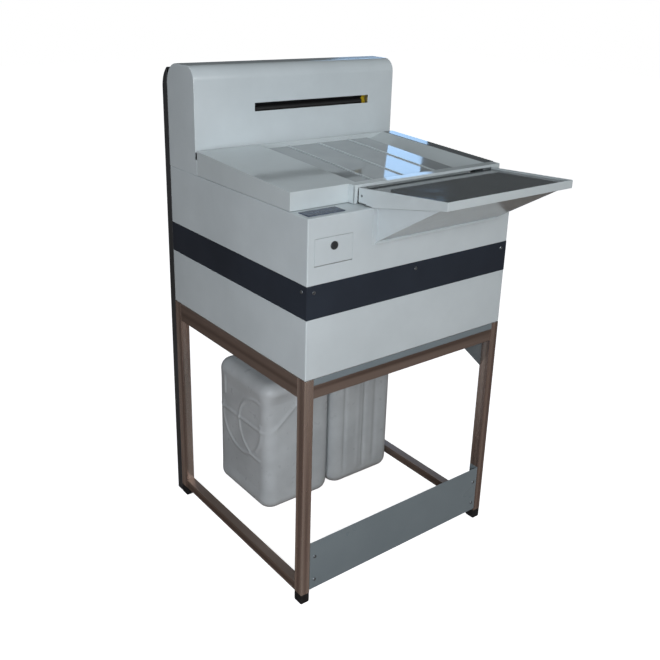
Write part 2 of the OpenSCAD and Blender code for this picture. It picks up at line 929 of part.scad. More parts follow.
// Free roller at the foot of a rack
module turn_roller(k) {
  color(roller_c) seat()
    roller(tank_y(k), turn_z, turn_r, plate_l, plate_r + plate_t);
}

module developer_turn_roller() { turn_roller(0); }
module fixer_turn_roller() { turn_roller(1); }
module wash_turn_roller() { turn_roller(2); }

// Lower feed roller, driven by the row and driving the upper one
pair_m = feed_gap / gear_teeth;
pair_x = plate_r + plate_t + 2;
pair_w = 7;

module feed_roller_lower() {
  color(roller_c) seat() {
    roller(first_y, feed_z, feed_r, gear_x + 1, pair_x + pair_w);
    gear(gear_x, gear_w, first_y, feed_z, gear_m, gear_teeth, 180 / gear_teeth);
    gear(pair_x, pair_w, first_y, feed_z, pair_m, gear_teeth, 0);
  }
}

module feed_roller_upper() {
  z = feed_z + feed_gap;
  color(roller_c) seat() {
    roller(first_y, z, feed_r, plate_l, pair_x + pair_w);
    gear(pair_x, pair_w, first_y, z, pair_m, gear_teeth, 180 / gear_teeth);
  }
}

// The drying section

dry_y0 = dryer_y - 12;
dry_y1 = body_d - 14;
dry_z0 = row_z - 12;
dry_z1 = deck_z + 21;
dry_z2 = deck_z + 211;
dry_r = film_r + 7;
dry_front = hood_y + 6;
box_y = [hood_y + 47, hood_y + 75];
box_z = [deck_z + 17, deck_z + 91];
duct_z = [box_z[1] - 28, box_z[1]];
air_wall = 1.5;
guide_y = exit_y + 14;
guide_z = exit_z - exit_gap;
belt_x = [gear_x - 11, gear_x - 5];
pulley_r = 6;
lower_z = exit_z - exit_gap / 2;
upper_exit_z = exit_z + exit_gap / 2;

// Side plates, hanger bars on the deck, air box with slits and film guides
module dryer_rack() {
  color(rack_c) seat() difference() {
    union() {
      for (x = [plate_l, dry_r]) {
        block([x, x + plate_t], [dry_y0, dry_y1], [dry_z0, dry_z1]);
        block([x, x + plate_t], [dry_front, dry_y1], [dry_z1 - eps, dry_z2]);
      }
      for (y = [hood_y + 18, body_d - 28])
        block([14, body_w - 14], [y, y + 8], [deck_z, deck_z + bar_h]);
      block([plate_l + 1, dry_r + 1], box_y, box_z);
      rod_x(plate_l + 1, dry_r + 1, hood_y + 16, deck_z + 57, 2);
      rod_x(plate_l + 1, dry_r + 1, hood_y + 41, deck_z + 97, 2);
      translate([0, guide_y, guide_z]) along_x(plate_l + 1, dry_r + 1)
        intersection() {
          difference() {
            circle(22.5);
            circle(21);
          }
          square(30);
        }
    }
    block([plate_l + plate_t, dry_r],
          [box_y[0] + air_wall, box_y[1] - air_wall],
          [box_z[0] + air_wall, box_z[1] - air_wall]);
    block([plate_l - 1, plate_l + plate_t + 1],
          [box_y[0] + air_wall, box_y[1] - air_wall],
          [duct_z[0] + air_wall, duct_z[1] - air_wall]);
    for (z = [box_z[0] + 10 : 24 : box_z[1] - 8])
      block([film_l + 6, film_r - 6], [box_y[0] - 1, box_y[0] + air_wall + 1], [z, z + 5]);
    rod_x(plate_l - 1, plate_l + plate_t + 1, dryer_y, row_z, bore_r);
    for (z = [lower_z, upper_exit_z])
      rod_x(plate_l - 1, dry_r + plate_t + 1, exit_y, z, bore_r);
  }
}

// Last gear of the row, which carries the belt pulley
module dryer_shaft() {
  color(gear_c) seat() {
    row_gear(9);
    rod_x(belt_x[0] - 2, plate_l + plate_t, dryer_y, row_z, shaft_r);
    rod_x(belt_x[0], belt_x[1], dryer_y, row_z, pulley_r);
  }
}

exit_r_end = film_r - 8;
exit_gear_x = film_r - 5;
exit_gear_w = 10;
exit_m = exit_gap / gear_teeth;

// Exit roller: barrel, shaft and gear differ only in height and phase
module exit_roller(z, x0, phase) {
  color(roller_c) seat() {
    rod_x(film_l, exit_r_end, exit_y, z, exit_r);
    rod_x(x0, dry_r + plate_t, exit_y, z, shaft_r);
  }
  color(yellow_c) seat()
    gear(exit_gear_x, exit_gear_w, exit_y, z, exit_m, gear_teeth, phase);
}

module exit_roller_lower() {
  exit_roller(lower_z, belt_x[0] - 2, 0);
  color(roller_c) seat() rod_x(belt_x[0], belt_x[1], exit_y, lower_z, pulley_r);
}

module exit_roller_upper() {
  exit_roller(upper_exit_z, plate_l, 180 / gear_teeth);
}

// Outline of the belt round both pulleys at radius r
module belt_outline(r) {
  run = [exit_y - dryer_y, lower_z - row_z];
  len = norm(run);
  translate([dryer_y, row_z]) rotate(atan2(run[1], run[0])) {
    circle(r);
    translate([len, 0]) circle(r);
    translate([0, -r]) square([len, 2 * r]);
  }
}

belt_gap = 0.3;
belt_t = 1.8;

module dryer_belt() {
  color(black_c) seat() along_x(belt_x[0] + 0.5, belt_x[1] - 0.5) difference() {
    belt_outline(pulley_r + belt_gap + belt_t);
    belt_outline(pulley_r + belt_gap);
  }
}

// The drive

motor_r = 34;
motor_x = [36, gear_x - 19];
bracket_t = 3;

// Gear motor with cooling rings and a bore for the pinion shaft
module motor() {
  color(metal_c) seat() difference() {
    union() {
      rod_x(motor_x[0], motor_x[1], pinion_y, pinion_z, motor_r - 3);
      rod_x(motor_x[1] - 26, motor_x[1], pinion_y, pinion_z, motor_r);
      for (x = [motor_x[0] + 8 : 8 : motor_x[1] - 34])
        rod_x(x, x + 3, pinion_y, pinion_z, motor_r);
      rod_x(motor_x[0] - 6, motor_x[0] + eps, pinion_y, pinion_z, 20);
    }
    rod_x(motor_x[1] - 22, motor_x[1] + 1, pinion_y, pinion_z, bore_r);
  }
}

// Upright plate that carries the motor on the cabinet floor
module motor_bracket() {
  x = motor_x[1];
  color(metal_c) seat() difference() {
    union() {
      block([x, x + bracket_t], [pinion_y - 40, pinion_y + 40], [floor_z, pinion_z + 40]);
      block([x - 40, x + bracket_t], [pinion_y - 40, pinion_y + 40], [floor_z, floor_z + 3]);
      for (y = [pinion_y - 40, pinion_y + 37])
        along_y(y, y + 3)
          polygon([[x + eps, floor_z], [x - 40, floor_z], [x + eps, floor_z + 120]]);
    }
    rod_x(x - 1, x + bracket_t + 1, pinion_y, pinion_z, 9);
  }
}

module drive_pinion() {
  color(gear_c) seat() {
    gear(gear_x, gear_w, pinion_y, pinion_z, gear_m, pinion_teeth, 180 / pinion_teeth);
    rod_x(motor_x[1] - 20, gear_x + gear_w, pinion_y, pinion_z, shaft_r);
  }
}

blow_y = body_d - 64;
blow_z = deck_z + 133;
blow_r = 56;
blow_x = [30, 110];
wheel_r = 38;
blow_wall = 3;

// Fan scroll with its motor, mounting block and the duct to the air box
module blower_housing() {
  color(grey_c) seat() difference() {
    union() {
      rod_x(blow_x[0], blow_x[1], blow_y, blow_z, blow_r);
      rod_x(blow_x[0] - 16, blow_x[0] + eps, blow_y, blow_z, 22);
      block([blow_x[1] - 28, plate_l], box_y, duct_z);
      block([40, 100], [blow_y + blow_r - 6, body_d - sheet_t], [blow_z - 20, blow_z + 20]);
    }
    rod_x(blow_x[0] + blow_wall, blow_x[1] - blow_wall, blow_y, blow_z, blow_r - blow_wall);
    block([blow_x[1] - 26, plate_l + 1],
          [box_y[0] + air_wall, box_y[1] - air_wall],
          [duct_z[0] + air_wall, duct_z[1] - air_wall]);
    rod_x(blow_x[1] - 5, blow_x[1] + 1, blow_y, blow_z, 20);
    rod_x(blow_x[0] - 10, blow_x[0] + 5, blow_y, blow_z, bore_r);
  }
}

blade_n = 24;

// Squirrel-cage wheel: hub disc, ring of blades, end ring and shaft
module blower_wheel() {
  x0 = blow_x[0] + blow_wall + 3;
  x1 = blow_x[1] - blow_wall - 3;
  color(metal_c) seat() {
    rod_x(x0, x0 + 3, blow_y, blow_z, wheel_r);
    rod_x(blow_x[0] - 8, x0 + 12, blow_y, blow_z, shaft_r);
    translate([0, blow_y, blow_z]) along_x(x1 - 3, x1) difference() {
      circle(wheel_r);
      circle(wheel_r - 9);
    }
    for (i = [0 : blade_n - 1])
      translate([x0 + 1, blow_y, blow_z]) rotate([i * 360 / blade_n, 0, 0])
        translate([0, -0.6, wheel_r - 8.5]) cube([x1 - x0 - 2, 1.2, 8]);
  }
}

pump_x = (tank_r + body_w - 4) / 2;

// Two circulation pumps, each on the floor beside the tank it serves
module circulation_pumps() {
  color(black_c) seat() for (k = [0, 1]) {
    block([pump_x - 24, pump_x + 24], [tank_y(k) - 26, tank_y(k) + 26], [floor_z, floor_z + 8]);
    translate([pump_x, tank_y(k), floor_z]) {
      cylinder(h = 46, r = 22);
      cylinder(h = 110, r = 18);
      for (z = [60 : 10 : 100]) translate([0, 0, z]) cylinder(h = 4, r = 21);
    }
    rod_x(tank_r, pump_x, tank_y(k), floor_z + 30, 8);
  }
}

unit_x = [12, 116];
unit_y = [20, 112];

// Timer and heater control box with its relays and terminal block
module control_unit() {
  color("#4c7a5a") seat() {
    block(unit_x, unit_y, [floor_z, floor_z + 62]);
    for (i = [0 : 2])
      block([unit_x[0] + 8 + i * 32, unit_x[0] + 32 + i * 32], [30, 58],
            [floor_z + 62 - eps, floor_z + 90]);
    block([unit_x[0] + 8, unit_x[1] - 8], [76, 96], [floor_z + 62 - eps, floor_z + 76]);
  }
}

// The chemical cans

can_r = 40;
can_edge = 28;
can_x = body_w / 2 + 53;
can_cy = full_d - 2 - can_d / 2;
neck_r = 24;
neck_h = 30;
neck_dy = -62;
cap_r = 29;
cap_gap = 0.08;

// Can body inset by t, rounded in plan and along its edges
module can_solid(t) {
  w = can_w - 2 * t;
  d = can_d - 2 * t;
  h = can_h - 2 * t;
  translate([0, 0, t]) intersection() {
    translate([0, -d / 2, 0]) linear_extrude(h) round_rect(w, d, can_r - t);
    along_y(-d, d) round_rect(w, h, can_edge - t);
    along_x(-w, w) round_rect(d, h, can_edge - t);
  }
}

// Translucent can, hollow, with an open neck
module can(side) {
  color(can_c) seat() translate([can_x + side * (can_w / 2 + 2), can_cy, 0])
    difference() {
      union() {
        can_solid(0);
        translate([0, neck_dy, can_h - 10]) cylinder(h = neck_h + 10, r = neck_r);
      }
      can_solid(can_wall);
      translate([0, neck_dy, can_h - 20]) cylinder(h = neck_h + 30, r = neck_r - 4);
    }
}

module developer_can() { can(-1); }
module fixer_can() { can(1); }

// Screw cap with grip ribs that turns on the neck
module can_cap(side) {
  color(side < 0 ? "#b03028" : "#2f5fa8") seat()
    translate([can_x + side * (can_w / 2 + 2), can_cy + neck_dy, can_h + 8]) {
      difference() {
        cylinder(h = neck_h - 2, r = cap_r);
        translate([0, 0, -1]) cylinder(h = neck_h - 5, r = neck_r + cap_gap);
      }
      for (i = [0 : 23])
        rotate(i * 15) translate([cap_r, 0, 2]) cylinder(h = neck_h - 6, r = 1.2);
    }
}

module developer_can_cap() { can_cap(-1); }
module fixer_can_cap() { can_cap(1); }

legs();
rails();
sill_strip();
feet();
gusset_plate();
kick_plate();
panel_screws();
lower_shell();
upper_shell();
trim_band();
rear_panel();
rear_fittings();
control_flap();
flap_pin();
lock_plug();
key_panel();
lid_hinges();
lid();
bin_floor();
hood();
feed_housing();
feed_tray();
feed_plate();
tray_hinges();
developer_tank();
fixer_tank();
wash_tank();
developer_rack();
fixer_rack();
wash_rack();
dryer_rack();
feed_roller_lower();
feed_roller_upper();
developer_front_roller();
developer_rear_roller();
fixer_front_roller();
fixer_rear_roller();
wash_front_roller();
wash_rear_roller();
developer_turn_roller();
fixer_turn_roller();
wash_turn_roller();
developer_idler();
fixer_idler();
wash_idler();
dryer_shaft();
exit_roller_lower();
exit_roller_upper();
motor();
motor_bracket();
drive_pinion();
dryer_belt();
blower_housing();
blower_wheel();
circulation_pumps();
control_unit();
developer_can();
fixer_can();
developer_can_cap();
fixer_can_cap();
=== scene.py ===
import math

import bmesh
import bpy
import numpy as np
from mathutils import Matrix, Vector


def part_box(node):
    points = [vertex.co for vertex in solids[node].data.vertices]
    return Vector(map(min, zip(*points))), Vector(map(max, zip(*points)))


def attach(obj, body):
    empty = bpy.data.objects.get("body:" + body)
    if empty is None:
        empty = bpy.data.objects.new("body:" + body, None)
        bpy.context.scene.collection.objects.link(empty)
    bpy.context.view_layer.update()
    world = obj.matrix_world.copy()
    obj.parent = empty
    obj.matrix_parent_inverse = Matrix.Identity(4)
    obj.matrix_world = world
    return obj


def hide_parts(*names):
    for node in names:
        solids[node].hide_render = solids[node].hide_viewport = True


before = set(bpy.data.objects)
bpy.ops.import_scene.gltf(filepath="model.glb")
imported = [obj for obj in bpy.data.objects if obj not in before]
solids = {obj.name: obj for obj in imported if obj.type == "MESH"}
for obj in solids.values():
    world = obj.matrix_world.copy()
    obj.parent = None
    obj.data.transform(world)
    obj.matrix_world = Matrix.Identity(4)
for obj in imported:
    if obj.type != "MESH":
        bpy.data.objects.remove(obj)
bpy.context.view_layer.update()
scene = bpy.context.scene

# The view
# The camera stands where the photographer stood, a little above the hood and
# to the front left. Its place and turn were fitted to the straight edges.
scene.view_settings.view_transform = "Standard"
camera_place = Vector((-1.3081, -1.5594, 1.4490))
camera_azimuth = math.radians(-39.021)
camera_dip = math.radians(20.033)
camera_roll = math.radians(1.984)
ahead = Vector((
    -math.sin(camera_azimuth) * math.cos(camera_dip),
    math.cos(camera_azimuth) * math.cos(camera_dip),
    -math.sin(camera_dip),
))
right = Vector((math.cos(camera_azimuth), math.sin(camera_azimuth), 0))
up = right.cross(ahead)
camera_x = math.cos(camera_roll) * right + math.sin(camera_roll) * up
camera_y = math.cos(camera_roll) * up - math.sin(camera_roll) * right
camera = bpy.data.objects.new("camera", bpy.data.cameras.new("camera"))
scene.collection.objects.link(camera)
camera.matrix_world = (
    Matrix.Translation(camera_place)
    @ Matrix((camera_x, camera_y, -ahead)).transposed().to_4x4()
)
camera.data.sensor_width = 36
camera.data.lens = 46.09
camera.data.shift_x = -0.0217
camera.data.shift_y = -0.0679
camera.data.clip_end = 60
scene.camera = camera


# The floor
# A plain pale floor. The camera sees it white with the shadow of the object on
# it; mirrors and bounced light see the warmer tone of a workroom floor.
def linear(hex_colour):
    """sRGB hex to linear RGBA: c/12.92 up to 0.04045, else ((c + 0.055)/1.055) to the 2.4."""
    parts = np.array([int(hex_colour[i:i + 2], 16) / 255 for i in (1, 3, 5)])
    high = ((parts + 0.055) / 1.055) ** 2.4
    return (*np.where(parts <= 0.04045, parts / 12.92, high), 1.0)


def add(tree, kind, inputs=None, **settings):
    """Adds a node of a kind, sets its settings, and sets or links its inputs by name or number."""
    made = tree.nodes.new("ShaderNode" + kind)
    for key, value in settings.items():
        setattr(made, key, value)
    for key, value in (inputs or {}).items():
        if isinstance(value, bpy.types.NodeSocket):
            tree.links.new(value, made.inputs[key])
        else:
            made.inputs[key].default_value = value
    return made


def new_finish(name, base, **sockets):
    """Starts a material on one Principled shader; gives the material, its tree and the shader."""
    material = bpy.data.materials.new(name)
    material.use_nodes = True
    tree = material.node_tree
    shader = tree.nodes["Principled BSDF"]
    shader.inputs["Base Color"].default_value = linear(base)
    for key, value in sockets.items():
        shader.inputs[key.replace("_", " ")].default_value = value
    return material, tree, shader


floor_half = 12.0
floor_mesh = bpy.data.meshes.new("floor")
floor_mesh.from_pydata(
    [(-floor_half, -floor_half, 0), (floor_half, -floor_half, 0),
     (floor_half, floor_half, 0), (-floor_half, floor_half, 0)],
    [], [(0, 1, 2, 3)],
)
floor = bpy.data.objects.new("floor", floor_mesh)
scene.collection.objects.link(floor)
floor_paint, tree, shader = new_finish("pale_floor", "#ffffff", Roughness=0.9)
shader.inputs["Specular IOR Level"].default_value = 0.0
seen = add(tree, "LightPath")
floor_lift = 0.88
lift = add(tree, "Emission", {"Color": linear("#ffffff"), "Strength": floor_lift})
plain = add(tree, "AddShader", {0: shader.outputs["BSDF"], 1: lift.outputs["Emission"]})
warm = add(tree, "BsdfDiffuse", {"Color": linear("#857468")})
pick = add(tree, "MixShader", {
    "Fac": seen.outputs["Is Camera Ray"],
    1: warm.outputs["BSDF"],
    2: plain.outputs["Shader"],
})
tree.links.new(pick.outputs["Shader"], tree.nodes["Material Output"].inputs["Surface"])
floor_mesh.materials.append(floor_paint)

# The studio
# White for the camera, and for mirrors and bounced light a dim grey room that is
# darker low down behind. One softbox stands in front, one on the left, a weak one
# hangs overhead, and the window behind to the right shows in the glossy plates.
world = bpy.data.worlds.new("white_room")
scene.world = world
world.use_nodes = True
tree = world.node_tree
tree.nodes.clear()
seen = add(tree, "LightPath")
way = add(tree, "SeparateXYZ", {"Vector": add(tree, "TexCoord").outputs["Generated"]})
dim_room, lit_room = 0.07, 0.2
drop_behind = -0.6
height = add(tree, "Math", {
    0: way.outputs["Y"], 1: drop_behind, 2: way.outputs["Z"],
}, operation="MULTIPLY_ADD")
glow = add(tree, "MapRange", {
    "Value": height.outputs[0], "From Min": -0.1, "From Max": 0.15,
    "To Min": dim_room, "To Max": lit_room,
})
room = add(tree, "Background", {
    "Color": linear("#e9eff2"), "Strength": glow.outputs["Result"],
})
white = add(tree, "Background", {"Color": linear("#ffffff"), "Strength": 1.0})
pick = add(tree, "MixShader", {
    "Fac": seen.outputs["Is Camera Ray"],
    1: room.outputs["Background"],
    2: white.outputs["Background"],
})
add(tree, "OutputWorld", {"Surface": pick.outputs["Shader"]})


def softbox(name, place, aim, size, watts, colour):
    """A rectangular area light at a place, turned to face a point."""
    light = bpy.data.lights.new(name, "AREA")
    light.shape = "RECTANGLE"
    light.size, light.size_y = size
    light.energy = watts
    light.color = linear(colour)[:3]
    lamp = bpy.data.objects.new(name, light)
    lamp.location = place
    lamp.rotation_mode = "QUATERNION"
    lamp.rotation_quaternion = (Vector(aim) - Vector(place)).to_track_quat("-Z", "Y")
    scene.collection.objects.link(lamp)


softbox("front_softbox", (0.6, -4.1, 2.6), (0, 0, 0.8), (3.0, 1.6), 54, "#fdfeff")
softbox("left_softbox", (-2.2, -1.9, 1.4), (0, 0, 0.7), (1.1, 1.5), 44, "#f6f9ff")
softbox("top_softbox", (0.2, -1.2, 3.6), (0, 0, 1.0), (0.9, 0.9), 2, "#ffffff")
softbox("window", (2.735, 3.0, 2.105), (2.735, 0, 2.105), (0.97, 0.79), 6.3, "#a8d2ff")


# The stand
# Legs and rails are polished stainless square tube. The polish runs along each
# tube, so what they mirror is drawn out in long soft streaks. These streaks are
# also painted into the colour as a painted reflection in three tones.
def place_noise(tree, size, detail=2.0, stretch=(1, 1, 1), rough=0.5):
    """Noise on object coordinates: a feature is size mm, so its scale is 1000 / size per metre.

    Each part of stretch multiplies its axis, and a part under 1 draws the features out along it.
    """
    place = add(tree, "TexCoord").outputs["Object"]
    mapped = add(tree, "Mapping", {"Vector": place, "Scale": stretch}).outputs["Vector"]
    noise = add(tree, "TexNoise", {
        "Vector": mapped, "Scale": 1000 / size, "Detail": detail, "Roughness": rough,
    })
    return noise.outputs["Fac"]


def ramp(tree, factor, stops):
    """A colour ramp with (place, hex) stops."""
    made = add(tree, "ValToRGB", {"Fac": factor})
    elements = made.color_ramp.elements
    while len(elements) < len(stops):
        elements.new(0.5)
    for element, (place, hex_colour) in zip(elements, stops):
        element.position = place
        element.color = linear(hex_colour)
    return made.outputs["Color"]


def spread(tree, factor, low, high):
    """Maps the middle of a noise, 0.3 to 0.7, onto low to high."""
    made = add(tree, "MapRange", {
        "Value": factor, "From Min": 0.3, "From Max": 0.7, "To Min": low, "To Max": high,
    })
    return made.outputs["Result"]


def stand_in(piece, name, body):
    """Stands a new piece in place of a node, on its body."""
    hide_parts(name)
    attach(piece, body)


same_place = 2e-6
flat_bend = math.radians(0.5)
rounded_bend = math.radians(25)


def rounded(name, radius, material, body="cabinet", ease=0.45, split=False):
    """Stands a copy of a node in its place with its edges rounded off.

    The doubles are merged and the flat faces joined. An edge that bends by more than 25 degrees
    gets the radius, or a share, ease, of the narrowest face beside it where that is less; a face's
    narrowness is twice its area over its outline. Edges in an inner corner get a third. With
    split, hollow-sided faces are cut into ones that bulge, so none is filled across its hollow.
    """
    mesh = solids[name].data.copy()
    form = bmesh.new()
    form.from_mesh(mesh)
    bmesh.ops.remove_doubles(form, verts=form.verts, dist=same_place)
    bmesh.ops.dissolve_limit(
        form, angle_limit=flat_bend, verts=form.verts, edges=form.edges,
        delimit={"NORMAL"},
    )
    weight = form.edges.layers.float.new("bevel_weight_edge")
    narrow = {
        face: 2 * face.calc_area() / max(face.calc_perimeter(), 1e-9) for face in form.faces
    }
    room = {
        edge: min(narrow[face] for face in edge.link_faces)
        for edge in form.edges if edge.link_faces
    }
    if split:
        bmesh.ops.connect_verts_concave(form, faces=form.faces[:])
    for edge in form.edges:
        if len(edge.link_faces) != 2:
            continue
        bend = edge.calc_face_angle_signed(0)
        if abs(bend) < rounded_bend or edge not in room:
            continue
        share = min(1.0, ease * room[edge] / radius)
        edge[weight] = share if bend > 0 else share / 3
    for face in form.faces:
        face.smooth = True
    form.to_mesh(mesh)
    form.free()
    mesh.materials.clear()
    mesh.materials.append(material)
    piece = bpy.data.objects.new(name + "_skin", mesh)
    scene.collection.objects.link(piece)
    bevel = piece.modifiers.new("rounded_edges", "BEVEL")
    bevel.width = radius
    bevel.segments = 2
    bevel.limit_method = "WEIGHT"
    bevel.use_clamp_overlap = False
    even = piece.modifiers.new("flat_faces_first", "WEIGHTED_NORMAL")
    even.weight = 100
    even.keep_sharp = True
    stand_in(piece, name, body)


def tube_finish(name, tones, polish, stretch):
    """Polished tube: a painted reflection of streaks about 14 mm wide in three tones, and 6 mm
    streaks in two polishes.
    """
    dark, middle, light = tones
    material, tree, shader = new_finish(name, middle, Metallic=0.8)
    # Painted reflection: streaks in three tones, drawn out along the tube.
    painted_reflection = ramp(tree, place_noise(tree, 14.3, 0, stretch),
                 [(0.3, dark), (0.5, middle), (0.7, light)])
    tree.links.new(painted_reflection, shader.inputs["Base Color"])
    streak = place_noise(tree, 6.25, 0, stretch)
    tree.links.new(spread(tree, streak, *polish), shader.inputs["Roughness"])
    fine = add(tree, "Bump", {"Height": streak, "Strength": 0.03, "Distance": 0.0003})
    tree.links.new(fine.outputs["Normal"], shader.inputs["Normal"])
    return material


# The warm tones are a painted reflection of the floor of the room that the polish
# picks up. The legs are paler and sharper; the rails are darker and duller, with
# painted shade from the cabinet above them.
upright_steel = tube_finish("polished_tube_upright", ("#a5928a", "#c9b6ab", "#dccdc3"),
                            (0.22, 0.3), (1, 1, 0.02))
# The rails' darker tones are painted shade from the cabinet above them.
level_steel_painted_shade = tube_finish("polished_tube_level", ("#84746c", "#9d8b81", "#ae9c92"),
                          (0.36, 0.46), (0.02, 0.02, 1))
tube_corner = 0.0018
rounded("legs", tube_corner, upright_steel)
rounded("rails", tube_corner, level_steel_painted_shade)

# Feet
# Moulded black rubber plugs, dull, with a fine grain that scatters the light.
rubber, tree, shader = new_finish("moulded_rubber", "#161617", Roughness=0.72)
grain = add(tree, "Bump", {
    "Height": place_noise(tree, 1.1, 3), "Strength": 0.3, "Distance": 0.0004,
})
tree.links.new(grain.outputs["Normal"], shader.inputs["Normal"])
dust = ramp(tree, place_noise(tree, 16.7, 3), [(0.4, "#121213"), (0.75, "#262627")])
tree.links.new(dust, shader.inputs["Base Color"])
rounded("feet", 0.003, rubber)


# Painted sheet
# The cabinet, lid, hood and tray are folded steel sheet, powder coated and
# baked. The coat is glossy with a faint orange peel over sheet that is not
# quite flat, so what it mirrors wavers a little.
def powder_coat(name, dark, light, roughness, peel=0.1, wave=0.22):
    """Powder coat: a peel of 1.5 mm grain, a sheet wave of 125 mm and a tone between two shades."""
    material, tree, shader = new_finish(name, light, Roughness=roughness, IOR=1.5)
    tone = ramp(tree, place_noise(tree, 200, 4, rough=0.6), [(0.3, dark), (0.7, light)])
    tree.links.new(tone, shader.inputs["Base Color"])
    smear = spread(tree, place_noise(tree, 83.3, 2), roughness * 0.9, roughness * 1.12)
    tree.links.new(smear, shader.inputs["Roughness"])
    skin = add(tree, "Bump", {
        "Height": place_noise(tree, 1.54, 1), "Strength": peel, "Distance": 0.0002,
    })
    sheet = add(tree, "Bump", {
        "Height": place_noise(tree, 125, 1), "Strength": wave, "Distance": 0.002,
        "Normal": skin.outputs["Normal"],
    })
    tree.links.new(sheet.outputs["Normal"], shader.inputs["Normal"])
    return material


# The white shades lean to blue as in the photo. The band and the rear panel are
# duller, and a stronger peel breaks up what the rear panel mirrors.
white_coat = powder_coat("white_powder_coat", "#ccd5d8", "#d6dfe2", 0.17)
lid_coat = powder_coat("white_lid_coat", "#c9d2d4", "#d3dcde", 0.09, peel=0.03, wave=0.1)
band_coat = powder_coat("blue_grey_powder_coat", "#262d37", "#2d3540", 0.34)
dark_coat = powder_coat("dark_grey_powder_coat", "#37393b", "#414346", 0.42, peel=0.35)
kick_coat = powder_coat("grey_powder_coat", "#7b868b", "#828d92", 0.3, wave=0.08)
gusset_coat = powder_coat("grey_gusset_coat", "#5f676a", "#6a7175", 0.3)
rounded("kick_plate", 0.0009, kick_coat)
rounded("sill_strip", 0.0009, kick_coat)
rounded("gusset_plate", 0.0009, gusset_coat)
rounded("lower_shell", 0.003, white_coat)
rounded("upper_shell", 0.003, white_coat)
rounded("trim_band", 0.0018, band_coat)
rounded("rear_panel", 0.002, dark_coat)
rounded("hood", 0.002, white_coat)
rounded("feed_housing", 0.0012, white_coat)
rounded("control_flap", 0.0008, white_coat, body="control_flap")

# Lid and feed tray
# The same folded sheet with a smoother, glossier coat, in which the hood and
# the slot are mirrored as soft shapes.
rounded("lid", 0.0012, lid_coat, body="lid", ease=0.25, split=True)
rounded("feed_tray", 0.0016, lid_coat, body="feed_tray")


# Canopy edge
# The front edge of the canopy is folded down to just over the tray's sweep,
# and narrow returns beside the tray and at the right end reach to the deck.
def plates(name, boxes, material):
    """Thin closed plates in one mesh, each from its lowest to its highest corner."""
    corner = np.array([(i & 1, i >> 1 & 1, i >> 2) for i in range(8)])
    sides = np.array([(0, 2, 3, 1), (4, 5, 7, 6), (0, 1, 5, 4), (1, 3, 7, 5), (3, 2, 6, 7),
                      (2, 0, 4, 6)])
    places = [np.array(low) + corner * (np.array(high) - low) for low, high in boxes]
    faces = [sides + 8 * i for i in range(len(boxes))]
    mesh = bpy.data.meshes.new(name)
    mesh.from_pydata(np.concatenate(places).tolist(), [], np.concatenate(faces).tolist())
    mesh.materials.append(material)
    piece = bpy.data.objects.new(name, mesh)
    scene.collection.objects.link(piece)
    return piece


fold_thick = 0.002
edge_fold = 0.0045
beside_tray = 0.001
left_return = 0.012
end_return = 0.019
lid_low, lid_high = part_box("lid")
tray_low, tray_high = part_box("feed_tray")
canopy_front, canopy_foot = lid_low.y, lid_low.z
canopy_top = canopy_foot + 0.040
canopy_left, canopy_right = tray_low.x - left_return, lid_high.x - fold_thick
fold_left, fold_right = tray_low.x - beside_tray, tray_high.x + beside_tray
canopy_edge = plates("canopy_edge", [
    ((fold_left, canopy_front, canopy_top - edge_fold),
     (fold_right, canopy_front + fold_thick, canopy_top)),
    ((canopy_left, canopy_front, canopy_foot),
     (fold_left, canopy_front + fold_thick, canopy_top)),
    ((fold_right, canopy_front, canopy_foot),
     (canopy_right, canopy_front + fold_thick, canopy_top)),
    ((canopy_right - fold_thick, canopy_front + fold_thick, canopy_foot),
     (canopy_right, canopy_front + end_return, canopy_top)),
], lid_coat)
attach(canopy_edge, "lid")


# Glossy plates
# The floor of the receiving bin is polished grey laminate. The tray floor and
# the strip on the right rim are darker, a painted reflection of the dark room.
# They mirror the hood and the window.
def dress(names, *finishes, split=None):
    """Gives CAD nodes their finishes; faces whose centre lies past split in x take the second."""
    for name in names:
        mesh = solids[name].data
        mesh.materials.clear()
        for finish in finishes:
            mesh.materials.append(finish)
        chosen = np.zeros(len(mesh.polygons), dtype=np.int32)
        if split is not None:
            centre = np.zeros(len(mesh.polygons) * 3)
            mesh.polygons.foreach_get("center", centre)
            chosen = (centre[0::3] > split).astype(np.int32)
        mesh.polygons.foreach_set("material_index", chosen)


def laminate(name, dark, light, ior):
    """Polished laminate: roughness 0.03 to 0.09 in rubbed patches 25 mm wide."""
    material, tree, shader = new_finish(name, light, IOR=ior)
    shade = ramp(tree, place_noise(tree, 111, 3), [(0.3, dark), (0.7, light)])
    tree.links.new(shade, shader.inputs["Base Color"])
    rub = place_noise(tree, 25, 4, (1, 0.3, 1))
    tree.links.new(spread(tree, rub, 0.03, 0.09), shader.inputs["Roughness"])
    return material


bin_laminate = laminate("grey_laminate", "#a9b0b3", "#b4bbbe", 1.8)
# Darker laminate: a painted reflection of the dark room, for the tray floor and the rim strip.
laminate_painted_dark_reflection = laminate("laminate_painted_dark_reflection", "#6d7274", "#777c7e", 1.6)
rim_strip_left = 0.277
# Faces past the left edge of the rim strip take the painted dark reflection.
dress(["bin_floor"], bin_laminate, laminate_painted_dark_reflection, split=rim_strip_left)
dress(["feed_plate"], laminate_painted_dark_reflection)

